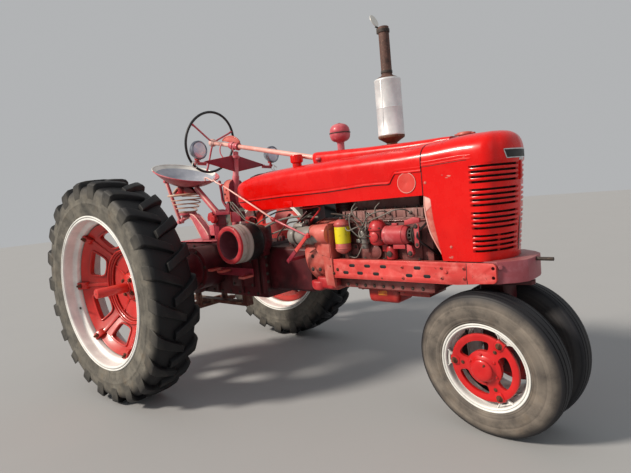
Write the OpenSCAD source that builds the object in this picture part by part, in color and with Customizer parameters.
// Row-crop tractor of the 1940s: narrow tricycle front, tall rear wheels,
// long bonnet over a four-cylinder engine, pan seat behind an upright post.
// Millimetres. X points forward, Y to the left, Z up; the floor is Z = 0.
// Drawn with the rear axle at X = 0, then moved so that the origin is the
// middle of the footprint (see mid_x).

/* [Wheels] */
// Distance from the rear axle to the steering pivot
wheelbase = 2256; // [2200:1:2300]
// Outer radius of a rear tyre over its lugs
rear_tyre_r = 735; // [700:1:760]
// Half width of a rear tyre
rear_tyre_hw = 146; // [120:1:160]
// Distance from the centre plane to the middle of a rear tyre
rear_half_tread = 804; // [780:1:900]
// Outer radius of a front tyre
front_tyre_r = 366; // [340:1:380]
// Half width of a front tyre
front_tyre_hw = 76; // [60:1:78]
// Distance from the steering pivot to the middle of a front wheel
front_half_tread = 124; // [122:1:150]
// Lean of the front wheels, tops outward, in degrees
camber = 5.3; // [0:0.1:8]
// Angle at which the front wheels are left, to the right, in degrees
steer_rest = 5.8; // [0:0.1:10]

/* [Body] */
// Half width of the bonnet and nose
hood_hw = 202; // [190:1:215]
// Wall of the sheet metal shells
sheet = 4; // [3:0.5:6]
// Height of the top of the side rails
rail_top = 870; // [860:1:880]
// Depth of a side rail
rail_h = 106; // [90:1:120]
// Outer face of a side rail from the centre plane
rail_y = 208; // [204:1:215]

/* [Controls] */
// Radius of the steering wheel rim
wheel_rim_r = 222; // [200:1:235]
// Slope of the steering shaft in degrees
shaft_slope = 12.5; // [10:0.5:15]
// Radius of the seat pan
seat_r = 262; // [230:1:280]
// Tilt of the seat pan, back edge up, in degrees
seat_tilt = 20; // [10:1:25]

/* [Exhaust] */
// Top of the exhaust pipe
pipe_top = 2144; // [2000:5:2160]
// Radius of the muffler
muffler_r = 74; // [60:1:80]

/* [Hidden] */
$fn = 64;

front_end = 2633.4;                       // foremost point of the front tyres
mid_x = (front_end - rear_tyre_r) / 2;  // middle of the footprint
rear_z = rear_tyre_r;
front_z = 365.3;                        // middle of a front wheel
rail_bot = rail_top - rail_h;

// ---- helpers -------------------------------------------------------------
module frame() translate([-mid_x, 0, 0]) children();
// a solid drawn on Z along +X, +Y
module along_x() rotate([0, 90, 0]) children();
module along_y() rotate([-90, 0, 0]) children();
// box by its corners
module box(x0, x1, y0, y1, z0, z1)
  translate([x0, y0, z0]) cube([x1 - x0, y1 - y0, z1 - z0]);
// cylinder along X, Y or Z by its ends
module xcyl(x0, x1, y, z, r) translate([x0, y, z]) rotate([0, 90, 0]) cylinder(r = r, h = x1 - x0);
module ycyl(x, y0, y1, z, r) translate([x, y0, z]) rotate([-90, 0, 0]) cylinder(r = r, h = y1 - y0);
module zcyl(x, y, z0, z1, r) translate([x, y, z0]) cylinder(r = r, h = z1 - z0);
// prism from a polygon of [x, z] points, standing across the body
module xz_prism(pts, y0, y1) translate([0, y1, 0]) rotate([90, 0, 0]) linear_extrude(y1 - y0) polygon(pts);
// prism from a polygon of [y, z] points, lying along the body
module yz_prism(pts, x0, x1) translate([x0, 0, 0]) rotate([90, 0, 90]) linear_extrude(x1 - x0) polygon(pts);
// straight bar of square section between two points of one X-Z plane
module xz_bar(a, b, y, w, t) {
  dx = b[0] - a[0]; dz = b[1] - a[1];
  translate([a[0], y, a[1]]) rotate([0, -atan2(dz, dx), 0])
    translate([0, -w / 2, -t / 2]) cube([sqrt(dx * dx + dz * dz), w, t]);
}
function arc(cx, cy, r, a0, a1, n) = [for (i = [0:n]) let (a = a0 + (a1 - a0) * i / n) [cx + r * cos(a), cy + r * sin(a)]];
function mirror_y(p) = [for (i = [len(p) - 1:-1:0]) [-p[i][0], p[i][1]]];
// both sides of the body from one
module both() { children(); mirror([0, 1, 0]) children(); }

// ---- bonnet, nose, tank --------------------------------------------------
// lower edge of the bonnet, front to rear: [x, z]
low_line = [[1859, 1195], [1365, 1187], [1002, 1179], [725, 1175], [690, 1180], [640, 1203], [600, 1222], [560, 1245], [520, 1272]];
hood_front = 1988;
// sections of the bonnet from its rounded rear end: [x, half width, crown, depth of the shoulder]
hood_line = [[533, 92, 1335, 46], [540, 114, 1352, 54], [565, 150, 1366, 62], [600, 176, 1378, 70], [650, 193, 1391, 78],
  [723, 202, 1405, 88], [820, 202, 1418, 95], [1003, 202, 1429, 98], [1172, 202, 1435, 98], [1405, 202, 1441, 98],
  [1860, 202, 1447, 105], [1987, 202, 1456, 113]];

// section of the bonnet, from low round the crown to low: [y, z]
function hood_section(hw, top, d, z0) = let (half = concat([[hw, z0], [hw, top - d]],
    [for (a = [12, 27, 42, 58, 74]) [hw * pow(cos(a), 0.645), top - d + d * pow(sin(a), 0.645)]]))
  concat(half, [[0, top]], mirror_y(half));
module hood_slice(i, inset, front) let (h = hood_line[i], x = h[0] + (h[0] < 720 ? inset : i == 11 ? front : 0))
  yz_prism(hood_section(h[1] - inset, h[2] - inset, h[3], 1150 - 50 * inset), x, x + 1);
module hood_solid(inset, front) difference() {
  union() for (i = [0:10]) hull() { hood_slice(i, inset, front); hood_slice(i + 1, inset, front); }
  if (inset == 0) xz_prism(concat([[2100, 1100], [2100, 1198], [1988, 1198]], low_line, [[500, 1300], [480, 1100]]), -240, 240);
}
module hood() frame() color("red") difference() {
  hood_solid(0, 0);
  hood_solid(sheet, 20);
  // slot for the steering shaft, and the places of the pipes
  box(1150, 1420, -24, 24, 1380, 1500);
  zcyl(pre_x, stack_y, 1380, 1500, 34);
  zcyl(muffler_x, stack_y, 1380, 1500, 42);
  zcyl(cap_x, cap_y, 1380, 1500, 36);
}

// nose: side outline [x, z], top first
nose_side = concat([[1988, 1462], [2060, 1468], [2200, 1475], [2270, 1475]], arc(2317, 1391, 83, 88, 6, 7),
  [[2402, 1345], [2396, 1325], [2396, 1300], [2384, 1150], [2362, 876], [2071, 876], [2056, 954], [2034, 1077], [2024, 1186], [1988, 1197]]);
// nose from above: half outline [x, y] to the front
function nose_plan(hw, xf) = let (half = concat([[1980, hw], [2260, hw]], arc(2282, hw - 70, 70, 80, 20, 4), [[xf - 10, 75]]))
  concat(half, [[xf, 0]], [for (i = [len(half) - 1:-1:0]) [half[i][0], -half[i][1]]]);
function nose_section(hw, top) = let (half = concat([[hw, 800], [hw, top - 110]],
    arc(hw - 80, top - 110, 80, 10, 75, 5), [[60, top - 8], [20, top]]))
  concat(half, mirror_y(half));
module nose_solid(i) intersection() {
  yz_prism(nose_section(hood_hw - 1 - i, 1480 - i), 1985 - (i > 0 ? 40 : -6), 2430);
  translate([0, 0, 800]) linear_extrude(720) polygon(nose_plan(hood_hw - 1 - i, 2404 - i));
  xz_prism(i == 0 ? nose_side : [[1900, 1462 - i], [1990, 1462 - i], [2060, 1468 - i], [2200, 1475 - i], [2270, 1473 - i], [2322, 1460 - i], [2372, 1423],
    [2394 - i, 1378], [2396 - i, 1345], [2391 - i, 1325], [2391 - i, 1300], [2379 - i, 1150], [2352 - i, 800], [1900, 800]], -230, 230);
}
// louvre groups: height of the top slot of each
slot_groups = [1314, 1208, 1101.5, 995];
slot_pitch = 23.4;
slot_h = 10;
module nose_shell() frame() color("red") difference() {
  nose_solid(0);
  nose_solid(sheet);
  zcyl(2135, 0, 1440, 1500, 42);
  for (g = slot_groups, k = [0:3]) {
    z = g - k * slot_pitch;
    box(2236, 2450, 15, 240, z - slot_h / 2, z + slot_h / 2);
    box(2236, 2450, -240, -15, z - slot_h / 2, z + slot_h / 2);
  }
}
module shaft_cover() frame() color("red") difference() {
  union() {
    yz_prism([[-64, 1410], [-64, 1452], [-40, 1478], [40, 1478], [64, 1452], [64, 1410]], 1184, 2080);
    xz_prism([[1160, 1420], [1160, 1484], [1176, 1502], [1380, 1494], [1637, 1489], [1860, 1482], [2080, 1480], [2080, 1420]], -38, 38);
  }
  yz_prism([[-58, 1400], [-58, 1448], [-36, 1472], [36, 1472], [58, 1448], [58, 1400]], 1190, 1980);
  box(1120, 1262, -22, 22, 1420, 1490);
  hood_solid(0, 0);
  hood_solid(0, 10);
  nose_solid(0);
}
cap_x = 1058;
cap_y = -66;
module fuel_tank() frame() color("red") union() {
  intersection() {
    hood_solid(sheet + 2, 0);
    xz_prism([[590, 1246], [590, 1480], [1128, 1480], [1128, 1188], [735, 1185], [670, 1204], [630, 1228]], -hood_hw, hood_hw);
  }
  zcyl(cap_x, cap_y, 1380, 1452, 30);
  zcyl(cap_x, cap_y, 1450, 1502, 38);
}

// ---- engine --------------------------------------------------------------
module engine_block() frame() color("indianred") difference() {
  union() {
    box(1392, 1965, -132, 118, 800, 1086);
    box(1392, 1990, -150, 150, 700, 806);
    // round cover on the right side
    ycyl(1652, -160, -132, 908, 42);
    // fan carrier and its spindle
    xcyl(1965, 2034, 0, fan_z, 30);
    xcyl(2034, 2100, 0, fan_z, 9);
    box(1965, 2010, -60, 60, 1060, 1170);
  }
}
module cylinder_head() frame() color("rosybrown") union() {
  box(1430, 1955, -132, 112, 1086, 1138);
  box(1470, 1900, -72, 72, 1138, 1212);
}
module oil_pan() frame() color("red") union() {
  box(1500, 1960, -125, 125, 690, 700);
  box(1528, 1742, -91, 91, 604, 690);
}
// intake and exhaust branches, riser to the pipe, carburettor below
module manifold() frame() color("dimgray") union() {
  xcyl(1480, 1900, 154, 1060, 34);
  for (x = [1500, 1660, 1820]) ycyl(x, 118, 160, 1060, 26);
  zcyl(muffler_x, 154, 1060, 1300, 31);
  ycyl(muffler_x, stack_y - 31, 185, 1300, 31);
  zcyl(muffler_x, stack_y, 1290, 1440, 31);
  zcyl(1620, 172, 885, 1040, 36);
  ycyl(1620, 118, 216, 912, 26);
}
module distributor() frame() color("gray") union() {
  translate([1606, -180, 930]) cylinder(r = 19, h = 30);
  translate([1606, -180, 958]) cylinder(r = 26, h = 32);
  translate([1606, -180, 990]) cylinder(r1 = 34, r2 = 30, h = 44);
  ycyl(1606, -180, -132, 980, 20);
}
module oil_filter() frame() color("red") union() {
  zcyl(1462, -188, 900, 1066, 44);
  translate([1462, -188, 1066]) cylinder(r1 = 44, r2 = 18, h = 22);
  zcyl(1462, -188, 1088, 1100, 12);
  box(1440, 1484, -188, -132, 960, 1010);
}
module generator() frame() color("red") union() {
  xcyl(1748, 1900, -196, 1006, 50);
  xcyl(1900, 1925, -196, 1006, 34);
  xcyl(1925, 1943, -196, 1006, 44);
  box(1800, 1880, -190, -132, 935, 975);
}
module governor() frame() color("red") union() {
  zcyl(1700, -186, 955, 1062, 46);
  translate([1700, -186, 1062]) cylinder(r1 = 46, r2 = 22, h = 26);
  box(1672, 1728, -186, -132, 970, 1050);
  zcyl(1764, -162, 872, 945, 30);
  box(1716, 1745, -176, -140, 915, 975);
}
module starter_motor() frame() color("silver") union() {
  xcyl(1095, 1262, -205, 1010, 54);
  xcyl(1262, 1330, -198, 1016, 46);
  xcyl(1080, 1095, -205, 1010, 40);
}
fan_x = 2118;
fan_z = 1120;
module radiator() frame() color("dimgray") difference() {
  union() {
    box(2165, 2262, -182, 182, 902, 1392);
    yz_prism([[-186, 1390], [186, 1390], [186, 1402], [165, 1424], [143, 1437], [-143, 1437], [-165, 1424], [-186, 1402]], 2160, 2268);
    box(2160, 2268, -186, 186, 876, 902);
    box(2092, 2170, -60, 60, 1398, 1436);
    zcyl(2135, 0, 1430, 1478, 30);
    zcyl(2135, 0, 1478, 1494, 38);
    // shroud ring round the fan
    difference() { box(2098, 2165, -190, 190, 900, 1340); xcyl(2090, 2170, 0, fan_z, 178); }
  }
}
module fan() frame() color("silver") union() {
  difference() {
    union() { xcyl(2050, 2140, 0, fan_z, 32); xcyl(2042, 2064, 0, fan_z, 56); }
    xcyl(2030, 2106, 0, fan_z, 12);
  }
  for (a = [0, 90, 180, 270]) translate([fan_x, 0, fan_z]) rotate([a + 20, 0, 0]) rotate([0, 0, 28])
    translate([-3, -38, 20]) cube([6, 76, 145]);
}

// ---- drive line ----------------------------------------------------------
module clutch_housing() frame() color("salmon") difference() {
  union() {
    translate([1392, 0, 890]) rotate([0, -90, 0]) rotate_extrude()
      polygon([[0, 0], [212, 0], [212, 22], [204, 28], [204, 190], [188, 226], [140, 262], [0, 262]]);
    box(762, 1140, -130, 130, 640, 925);
    box(1180, 1340, -120, 120, 668, 720);
    // round housing above, beside the pulley's gearbox
    xcyl(762, 950, -60, 990, 68);
    box(762, 950, -112, -8, 900, 990);
    // stand of the fuel tank
    box(1086, 1120, -90, 90, 925, 1187);
  }
  // recess of the starter, seats of the side rails
  xcyl(1060, 1331, -205, 1010, 55);
  for (s = [-1, 1]) translate([0, s * 220, 0]) box(1340, 1400, -26, 26, rail_bot - 0.5, rail_top + 0.5);
}
module transmission_case() frame() color("maroon") union() {
  box(-215, 762, -150, 150, 585, 948);
  // foot of the steering post
  box(270, 400, -60, 60, 948, 1000);
  // gearbox of the side pulley
  ycyl(pulley_x, -206, -150, pulley_z, 100);
  box(680, 820, -206, -150, 880, 960);
  box(650, 762, -150, -60, 948, 1060);
  // tail housing of the power take-off, bored for its shaft
  difference() { xcyl(-290, -215, 0, 700, 62); xcyl(-300, -240, 0, 700, 24); }
}
module axle_side() {
  // trumpet of the rear axle, bored for the axle bar
  difference() {
    translate([0, -150, rear_z]) rotate([90, 0, 0]) rotate_extrude()
      polygon([[0, 0], [165, 0], [165, 30], [120, 60], [84, 300], [84, 372], [96, 372], [96, 392], [0, 392]]);
    ycyl(0, -560, -480, rear_z, 36);
  }
  // brake drum
  ycyl(200, -318, -150, 792, 150);
  ycyl(200, -330, -318, 792, 120);
}
module rear_axle_housings() frame() color("maroon") both() axle_side();
pulley_x = 750;
pulley_z = 980;
module belt_pulley() frame() color("gainsboro") difference() {
  union() {
    translate([pulley_x, -430, pulley_z]) rotate([-90, 0, 0]) rotate_extrude() 
      polygon([[94, 0], [118, 0], [122, 50], [123, 100], [122, 150], [118, 198], [94, 198]]);
    ycyl(pulley_x, -330, -310, pulley_z, 96);
    ycyl(pulley_x, -350, -212, pulley_z, 40);
  }
}

// ---- drawbar, power take-off ---------------------------------------------
module drawbar() frame() color("saddlebrown") difference() {
  union() {
    box(-75, -25, -215, 215, 440, 466);
    for (s = [-1, 1]) box(-75, -25, s * 125 - 12, s * 125 + 12, 466, 585);
    box(-330, 400, -32, 32, 466, 492);
    box(352, 400, -30, 30, 492, 585);
    box(-185, -160, -175, 175, 440, 466);
    for (s = [-1, 1]) box(-185, -25, s * 175 - 14, s * 175 + 14, 440, 466);
  }
  zcyl(-296, 0, 430, 500, 15);
}
module pto_shaft() frame() color("silver") union() { xcyl(-355, -292, 0, 700, 17.5); xcyl(-292, -245, 0, 700, 20); }
module rear_platform() frame() color("salmon") box(-215, 205, -142, 142, 948, 966);

// ---- seat ----------------------------------------------------------------
seat_c = [-198, 0, 1502];
module seat() frame() color("indianred") translate(seat_c) rotate([0, seat_tilt, 0])
  rotate_extrude() polygon(concat(
    [for (i = [0:8]) let (r = seat_r * i / 8) [r, -104 + 104 * pow(r / seat_r, 2.2)]],
    [for (i = [8:-1:0]) let (r = (seat_r + 2) * i / 8) [r, -110 + 110 * pow(r / (seat_r + 2), 2.2) - (i == 8 ? 2 : 0)]]));
module seat_support() frame() color("salmon") difference() {
  union() {
    // foot on the platform and the sprung arm
    box(-30, 196, -36, 36, 966, 1000);
    box(60, 122, -38, 38, 970, 1080);
    xz_prism([[-262, 1128], [-266, 1146], [-240, 1164], [-205, 1174], [-135, 1174], [-84, 1156], [-20, 1098], [30, 1046], [64, 1000],
      [64, 966], [-20, 966], [-34, 984], [-76, 1050], [-126, 1122], [-160, 1140], [-215, 1138]], -56, 6);
    xz_bar([-225, 1150], [-322, 1112], -25, 58, 26);
    // tower with the front link, rear link
    box(120, 190, -45, 45, 966, 1165);
    xz_bar([176, 1158], [-56, 1368], -25, 40, 30);
    xz_bar([-312, 1108], [-457, 1456], -25, 34, 12);
    xz_bar([-456, 1448], [-442, 1570], -25, 36, 10);
    // coil spring between its seats
    zcyl(-205, -25, 1165, 1196, 68);
    for (c = [[1194, 72], [1234, 95], [1280, 118], [1330, 140]]) translate([-205, -25, c[0]])
      rotate_extrude() translate([c[1], 0]) circle(r = 7, $fn = 12);
    xz_bar([-133, 1194], [-110, 1234], -25, 10, 10);
    xz_bar([-300, 1234], [-323, 1280], -25, 10, 10);
    xz_bar([-87, 1280], [-65, 1330], -25, 10, 10);
    box(-345, -65, -37, -13, 1324, 1336);
    zcyl(-240, -25, 1330, 1410, 40);
  }
  // the pan rests on the spring
  translate(seat_c) rotate([0, seat_tilt, 0]) translate([-60, -110, -110.5]) cube([140, 200, 60]);
}
// ---- steering ------------------------------------------------------------
post_foot = [336, 0, 1010];
hub_c = [175, 0, 1690];
module steering_post() frame() color("salmon") difference() {
  union() {
    translate([322, 0, 996]) rotate([0, 9.2, 0]) { cylinder(r = 28, h = 430); cylinder(r = 20, h = 616); }
    // round-topped box below the tank's end
    yz_prism([[-72, 1246], [-72, 1342], [-66, 1368], [-52, 1388], [-30, 1400], [0, 1405], [30, 1400], [52, 1388], [66, 1368], [72, 1342], [72, 1246]], 318, 386);
    // arm to the seat's tower and the bent grip on it
    box(196, 356, -66, -20, 1150, 1178);
    xz_bar([268, 1402], [276, 1328], -54, 16, 16);
    xz_bar([275, 1338], [280, 1244], -54, 20, 20);
    xz_bar([279, 1256], [350, 1164], -54, 17, 17);
    translate(hub_c) rotate([0, 90 + shaft_slope, 0]) translate([0, 0, 205]) cylinder(r = 30, h = 80);
    // quadrant of the hand throttle
    xz_prism([[286, 1690], [300, 1702], [340, 1712], [380, 1710], [420, 1698], [452, 1680], [470, 1656], [462, 1636], [380, 1664], [300, 1685]], -5, 5);
  }
  translate(hub_c) rotate([0, 90 + shaft_slope, 0]) cylinder(r = 19.5, h = 500);
  box(200, 450, -60, 60, 940, 1000);
}
module steering_wheel() frame() color("dimgray") translate(hub_c) rotate([0, 90 + shaft_slope, 0]) union() {
  cylinder(r = 16, h = 1190);
  translate([0, 0, -22]) cylinder(r = 28, h = 50);
  translate([0, 0, -30]) rotate_extrude() translate([wheel_rim_r, 0]) circle(r = 9.5);
  for (a = [113, 233, 353]) rotate([0, 0, a]) translate([0, 0, -5]) rotate([0, 96.5, 0]) translate([0, 0, 15]) cylinder(r = 6.5, h = wheel_rim_r - 16);
}
bar_tilt = 3.6;
bar_z = 1513;
module light_bar() frame() color("brown") difference() {
  translate([404, 0, bar_z]) rotate([-bar_tilt, 0, 0]) {
    yz_prism([[-272, 5], [-272, -5], [0, -59], [272, -5], [272, 5], [0, 59]], -4, 4);
    for (s = [-1, 1]) translate([6, s * 308, -8]) cube([20, 100, 10], center = true);
  }
  // the post stands between its wings
  translate([322, 0, 996]) rotate([0, 9.2, 0]) cylinder(r = 20.5, h = 650);
}
// headlamps: [y, z] of the middle of each lens
lamps = [[-336, 1606], [346, 1572]];
module headlamps() frame() color("silver") for (l = lamps) union() {
  translate([448, l[0], l[1]]) rotate([0, -90, 0]) rotate_extrude()
    polygon([[0, -8], [50, -2], [58, 0], [62, 4], [62, 12], [56, 18], [44, 60], [26, 84], [0, 90]]);
  zcyl(410, l[0], bar_z - l[0] * tan(bar_tilt) - 2, l[1] - 40, 9);
}

// ---- stacks --------------------------------------------------------------
pre_x = 1292;
stack_y = 95;
module air_cleaner() frame() color("indianred") union() {
  translate([pre_x, stack_y, 0]) rotate_extrude() polygon([[0, 1398], [22, 1398], [22, 1550], [40, 1556], [58, 1572], [62, 1600], [66, 1606], [62, 1612], [60, 1630], [48, 1652], [26, 1664], [0, 1668]]);
  // oil bath canister under the bonnet and its pipe to the carburettor
  zcyl(pre_x, 105, 1106, 1384, 74);
  xcyl(1340, 1452, 160, 1146, 22);
  zcyl(1440, 160, 912, 1150, 22);
  xcyl(1440, 1582, 160, 912, 22);
}
muffler_x = 1658;
module muffler() frame() color("silver") union() {
  translate([muffler_x, stack_y, 0]) rotate_extrude() polygon([[0, 1440], [31, 1440], [31, 1506], [60, 1520], [muffler_r, 1528], [muffler_r + 2, 1540], [muffler_r, 1548],
    [muffler_r, 1846], [muffler_r - 8, 1862], [34, 1872], [31, 1880], [31, pipe_top - 60], [0, pipe_top - 60]]);
  difference() {
    zcyl(muffler_x, stack_y, pipe_top - 60, pipe_top, 30);
    zcyl(muffler_x, stack_y, pipe_top - 50, pipe_top + 1, 26);
  }
  // clamp with the ears of the cap's hinge
  zcyl(muffler_x, stack_y, pipe_top - 34, pipe_top - 14, 34);
}
// opened rain cap
cap_open = 110;
module rain_cap() frame() color("gray") translate([muffler_x - 42, stack_y, pipe_top + 8]) rotate([0, -cap_open, 0]) union() {
  translate([42, 0, -2]) cylinder(r = 37, h = 4);
  rotate([90, 0, 0]) translate([0, 0, -14]) cylinder(r = 5, h = 28);
  translate([2, -8, -2]) cube([20, 16, 4]);
}

// ---- controls ------------------------------------------------------------
module control_levers() frame() color("salmon") union() {
  // long rod beside the tank with its hooked handle, lever at its end
  xz_bar([389, 1416], [473, 1395], -275, 10, 10);
  xz_bar([466, 1396], [568, 1359], -275, 12, 12);
  xz_bar([560, 1363], [1014, 1118], -275, 10, 10);
  xz_bar([1004, 1122], [1280, 1012], -275, 13, 13);
  xz_bar([1284, 1028], [1098, 859], -275, 11, 24);
  ycyl(1110, -275, -130, 870, 11);
  // foot pedals on their shaft
  for (p = [[400, 790], [500, 784], [715, 752]]) box(p[0] - 25, p[0] + 25, -330, -236, p[1] - 8, p[1] + 8);
  box(375, 740, -244, -236, 744, 800);
  ycyl(560, -240, -150, 772, 12);
}

// ---- front end -----------------------------------------------------------
// slots through the rail's web: [x, row], row 0 low, 1 high
rail_slots = [[1524, 1], [1626, 1], [1728, 1], [1931, 1], [1478, 0], [1575, 0], [1680, 0], [1882, 0], [1983, 0]];
module rail() difference() {
  union() {
    translate([0, -rail_y, 0]) xz_prism(concat([[1345, rail_bot], [1345, rail_top]], arc(2314, rail_top - 18, 18, 90, 0, 3), arc(2314, rail_bot + 32, 18, 0, -90, 3), [[2140, rail_bot]]), 0, 14);
    box(1400, 2140, -rail_y + 10, -160, rail_top - 10, rail_top);
    box(1400, 2140, -rail_y + 10, -160, rail_bot, rail_bot + 10);
  }
  for (s = rail_slots) {
    z = s[1] == 1 ? 838 : 797;
    box(s[0] - 9, s[0] + 9, -rail_y - 5, -rail_y + 20, z - 6, z + 6);
    for (e = [-9, 9]) ycyl(s[0] + e, -rail_y - 5, -rail_y + 20, z, 6);
  }
  // bolt holes at the front end
  for (z = [848, 804]) ycyl(2318, -rail_y - 5, -rail_y + 20, z, 8);
}
module side_rails() frame() color("salmon") both() rail();

kingpin_r = 38;
module front_bolster() frame() color("salmon") difference() {
  union() {
    translate([0, 0, 772]) linear_extrude(104) polygon([[2145, -193], [2330, -193], [2400, -140], [2436, -92], [2444, -50],
      [2444, 50], [2436, 92], [2400, 140], [2330, 193], [2145, 193]]);
    // sleeve of the hand crank
    xcyl(2436, 2520, 0, 862, 8);
  }
  zcyl(wheelbase, 0, 760, 850, kingpin_r + 3);
}
module steered() translate([wheelbase, 0, 0]) rotate([0, 0, -steer_rest]) children();
module front_pedestal() frame() color("brown") steered() union() {
  zcyl(0, 0, 740, 840, kingpin_r);
  // flange with its forward stop
  zcyl(0, 0, 742, 766, 88);
  translate([55, 0, 744]) linear_extrude(18) polygon([[0, -70], [122, -24], [130, 0], [122, 24], [0, 70]]);
  intersection() {
    yz_prism([[-64, 744], [64, 744], [52, 600], [34, 440], [34, 300], [-34, 300], [-34, 440], [-52, 600]], -86, 86);
    zcyl(0, 0, 280, 750, 84);
  }
  // stub axles, square to the leaning wheels
  for (s = [0, 1]) mirror([0, s, 0]) translate([0, front_half_tread, front_z]) rotate([-camber, 0, 0])
    translate([0, -104, 0]) rotate([-90, 0, 0]) cylinder(r = 17, h = 118);
}
// wheel solids are drawn round the Y axis with +Y as the outer side
front_profile = [[204, -57], [206, -60], [222, -61.5], [225, -68], [244, -74], [285, -front_tyre_hw], [325, -70], [350, -55], [361, -30], [front_tyre_r, -9],
  [front_tyre_r, 9], [361, 30], [350, 55], [325, 70], [285, front_tyre_hw], [244, 74], [225, 68], [222, 61.5], [206, 60], [204, 57]];
module spun(pts) rotate([-90, 0, 0]) rotate_extrude($fn = 96) polygon(pts);
module front_tyre() spun(front_profile);
module front_wheel() difference() {
  union() {
    // rim: flanges, bead seats and well
    spun([[221.5, -66], [221.5, -62.5], [206, -61], [203, -57], [203, -34], [193, -27], [193, 27], [203, 34], [203, 57], [206, 61],
      [221.5, 62.5], [221.5, 66], [202, 65], [199, 58], [199, 32], [188, 23], [188, -23], [199, -32], [199, -58], [202, -65]]);
    // dished centre and hub
    spun([[28, -42], [52, -42], [60, 20], [70, 38], [90, 42], [160, 44], [170, 48], [170, 60], [160, 62], [95, 62], [80, 66], [62, 74], [58, 82], [40, 92], [28, 92]]);
    for (a = [65, 185, 305]) rotate([0, a, 0]) box(156, 199.5, 50, 57, -24, 24);
  }
  // three kidney windows
  for (a = [5, 125, 245]) rotate([0, a, 0]) translate([0, -20, 0]) rotate([-90, 0, 0]) linear_extrude(100)
    polygon(concat(arc(0, 0, 138, -38, 38, 6), arc(0, 0, 86, 36, -36, 6)));
}
module at_front(side) steered() mirror([0, side < 0 ? 1 : 0, 0]) translate([0, front_half_tread, front_z]) rotate([-camber, 0, 0]) children();
module hub_cap() spun([[0, 78], [40, 78], [52, 84], [50, 92], [36, 100], [0, 104]]);
module front_tyre_right() frame() color("dimgray") at_front(-1) front_tyre();
module front_tyre_left() frame() color("dimgray") at_front(1) front_tyre();
module front_wheel_right() frame() color("white") at_front(-1) union() { front_wheel(); hub_cap(); }
module front_wheel_left() frame() color("white") at_front(1) union() { front_wheel(); hub_cap(); }

// ---- rear wheels ---------------------------------------------------------
rear_profile = [[484, -127], [520, -131], [560, -141], [610, -rear_tyre_hw], [660, -143], [700, -136], [724, -122], [732, -60], [rear_tyre_r, -12],
  [rear_tyre_r, 12], [732, 60], [724, 122], [700, 136], [660, 143], [610, rear_tyre_hw], [560, 141], [520, 131], [484, 127]];
module at_rear(side) mirror([0, side < 0 ? 1 : 0, 0]) translate([0, rear_half_tread, rear_z]) children();
module rear_tyre() spun(rear_profile);
module rear_rim() spun([[483, -129], [508, -130], [508, -136], [478, -136], [476, -70], [452, -52], [452, 52], [476, 70], [478, 136], [508, 136], [508, 130], [483, 129],
  [483, 72], [459, 54], [459, -54], [483, -72]]);
hub_windows = 7;
lug_phase = 26.7;
// cast centre: local y = 0 is the middle of the tyre
module rear_hub() difference() {
  union() {
    spun([[30, -240], [80, -240], [84, -160], [120, -150], [225, -128], [240, -112], [262, -112], [290, -98], [390, -36], [448, -34], [448, 26], [440, 26], [404, -10],
      [280, -78], [262, -86], [236, -86], [222, -100], [110, -124], [86, -128], [84, -86], [30, -86]]);
    // axle bar
    ycyl(0, -314, 141, 0, 32);
    for (k = [0:hub_windows - 1]) rotate([0, lug_phase - k * 360 / hub_windows, 0]) box(418, 464, 10, 52, -22, 22);
  }
  spun([[451.5, 2], [480, 2], [480, 60], [451.5, 60]]);
  // windows between the spokes
  for (k = [0:hub_windows - 1]) rotate([0, lug_phase + (k + 0.5) * 360 / hub_windows, 0])
    translate([0, -140, 0]) rotate([-90, 0, 0]) linear_extrude(200)
      polygon([[282, -52], [294, -72], [366, -98], [384, -84], [390, -40], [392, 0], [390, 40], [384, 84], [366, 98], [294, 72], [282, 52], [276, 0]]);
}
module rear_tyre_right() frame() color("dimgray") at_rear(-1) rear_tyre();
module rear_tyre_left() frame() color("dimgray") at_rear(1) rear_tyre();
module rear_rim_right() frame() color("white") at_rear(-1) rear_rim();
module rear_rim_left() frame() color("white") at_rear(1) rear_rim();
module rear_hub_right() frame() color("red") at_rear(-1) rear_hub();
module rear_hub_left() frame() color("red") at_rear(1) rear_hub();

side_rails();
front_bolster();
radiator();
nose_shell();
hood();
shaft_cover();
fuel_tank();
engine_block();
cylinder_head();
oil_pan();
manifold();
distributor();
oil_filter();
generator();
governor();
starter_motor();
fan();
clutch_housing();
transmission_case();
rear_axle_housings();
belt_pulley();
drawbar();
pto_shaft();
rear_platform();
seat_support();
seat();
steering_post();
light_bar();
headlamps();
steering_wheel();
air_cleaner();
muffler();
rain_cap();
control_levers();
front_pedestal();
front_tyre_right();
front_wheel_right();
front_tyre_left();
front_wheel_left();
rear_tyre_right();
rear_rim_right();
rear_hub_right();
rear_tyre_left();
rear_rim_left();
rear_hub_left();
